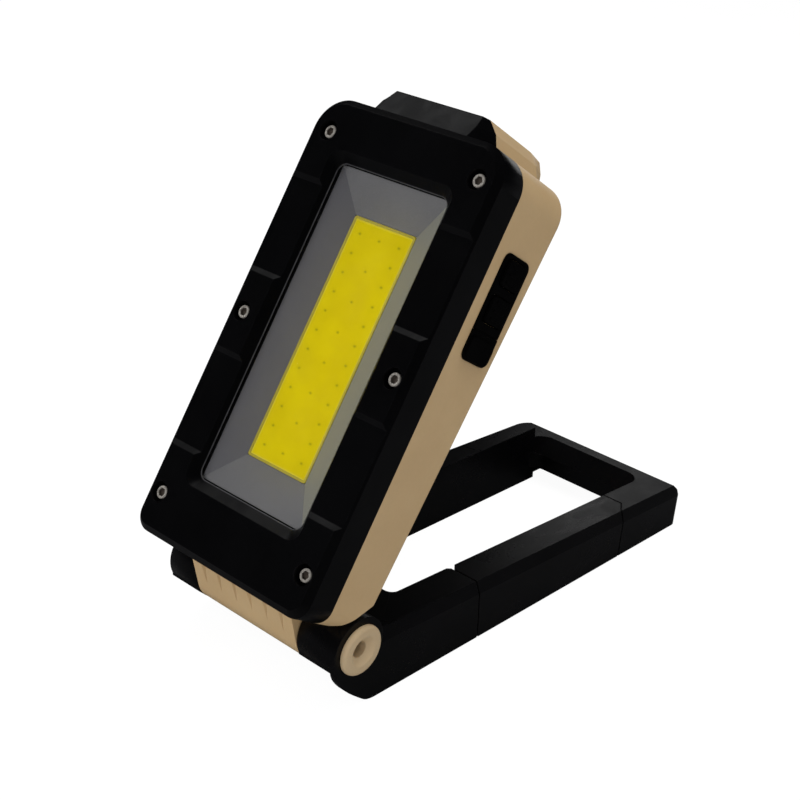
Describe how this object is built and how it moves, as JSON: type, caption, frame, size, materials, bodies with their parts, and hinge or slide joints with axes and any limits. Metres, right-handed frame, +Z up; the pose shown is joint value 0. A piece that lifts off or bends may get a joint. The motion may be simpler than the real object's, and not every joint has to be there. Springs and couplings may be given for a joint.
{
  "type": "work light",
  "caption": "Foldable hand-held work light: flat lamp head with a wide lit panel and end torch, on a friction hinge over a loop stand with a sprung snap gate.",
  "frame": {"origin": "centre of the footprint, on the floor the stand rests on", "axes": "+X along the hinge towards the side with the switches and the gate, +Y back along the stand away from the lamp face, +Z up"},
  "size_m": [0.0746, 0.197, 0.1627],
  "materials": {
    "bezel_black": "fine satin",
    "stand_black": "fine satin",
    "housing_sand": "fine matt texture",
    "cap_sand": "smooth satin",
    "lens_clear": "clear polished",
    "reflector_silver": "satin silver paint",
    "mirror_cup": "vacuum metallised",
    "phosphor_yellow": "cast silicone",
    "dam_white": "cast silicone",
    "board_aluminium": "satin",
    "heat_sink_aluminium": "extruded",
    "rubber_black": "matt",
    "steel_bright": "zinc plated",
    "nylon_white": "smooth",
    "cell_wrap": "film wrap",
    "foam_grey": "closed-cell foam",
    "board_green": "solder mask",
    "ferrite_grey": "moulded",
    "chip_black": "moulded",
    "connector_white": "moulded",
    "emitter_yellow": "cast silicone",
    "magnet_nickel": "nickel plated",
    "lead_red": "silicone insulation"
  },
  "bodies": {
    "stand": {"stand_frame": "stand_black", "gate_pin": "steel_bright", "gate_spring": "steel_bright", "spring_washers": "steel_bright", "friction_washers": "nylon_white"},
    "gate": {"gate": "stand_black"},
    "mode_button": {"mode_button": "rubber_black"},
    "torch_button": {"torch_button": "rubber_black"},
    "usb_flap": {"usb_flap": "rubber_black"},
    "head": {"back_magnet": "magnet_nickel", "battery_cell": "cell_wrap", "battery_leads": "lead_red", "battery_pad": "foam_grey", "bezel_screws": "steel_bright", "cob_board": "board_aluminium", "cob_dam": "dam_white", "cob_phosphor": "phosphor_yellow", "control_board": "board_green", "control_board_screws": "steel_bright", "control_chips": "chip_black", "front_bezel": "bezel_black", "heat_sink": "heat_sink_aluminium", "hinge_cap_left": "cap_sand", "hinge_cap_right": "cap_sand", "hinge_screws": "steel_bright", "housing_seal": "rubber_black", "led_board_screws": "steel_bright", "led_leads": "lead_red", "lens": "lens_clear", "lens_gasket": "rubber_black", "power_inductor": "ferrite_grey", "rear_housing": "housing_sand", "reflector": "reflector_silver", "switch_board": "board_green", "switch_boot": "rubber_black", "tact_switches": "chip_black", "torch_emitter": "emitter_yellow", "torch_leads": "lead_red", "torch_led_board": "board_aluminium", "torch_lens": "lens_clear", "torch_reflector": "mirror_cup", "usb_c_socket": "steel_bright", "wire_connectors": "connector_white"}
  },
  "joints": [
    {"name": "head_tilt", "type": "hinge", "parent": "stand", "child": "head", "pos_m": [0, -0.07373, 0.0204], "axis": [1, 0, 0], "range_deg": [-57.4, 110.4]},
    {"name": "gate_swing", "type": "hinge", "parent": "stand", "child": "gate", "pos_m": [0.0275, -0.00983, 0.01], "axis": [0, 0, 1], "range_deg": [0, 22], "stiffness_Nm_per_rad": 0.05, "springref_deg": -20.05},
    {"name": "mode_press", "type": "slide", "parent": "head", "child": "mode_button", "axis": [-1, 0, 0], "range_m": [0, 0.0006], "stiffness_N_per_m": 2000},
    {"name": "torch_press", "type": "slide", "parent": "head", "child": "torch_button", "axis": [-1, 0, 0], "range_m": [0, 0.0006], "stiffness_N_per_m": 2000},
    {"name": "usb_flap_open", "type": "hinge", "parent": "head", "child": "usb_flap", "pos_m": [0.036, -0.03252, 0.10694], "axis": [0, -0.8625, 0.506], "range_deg": [0, 100]}
  ]
}
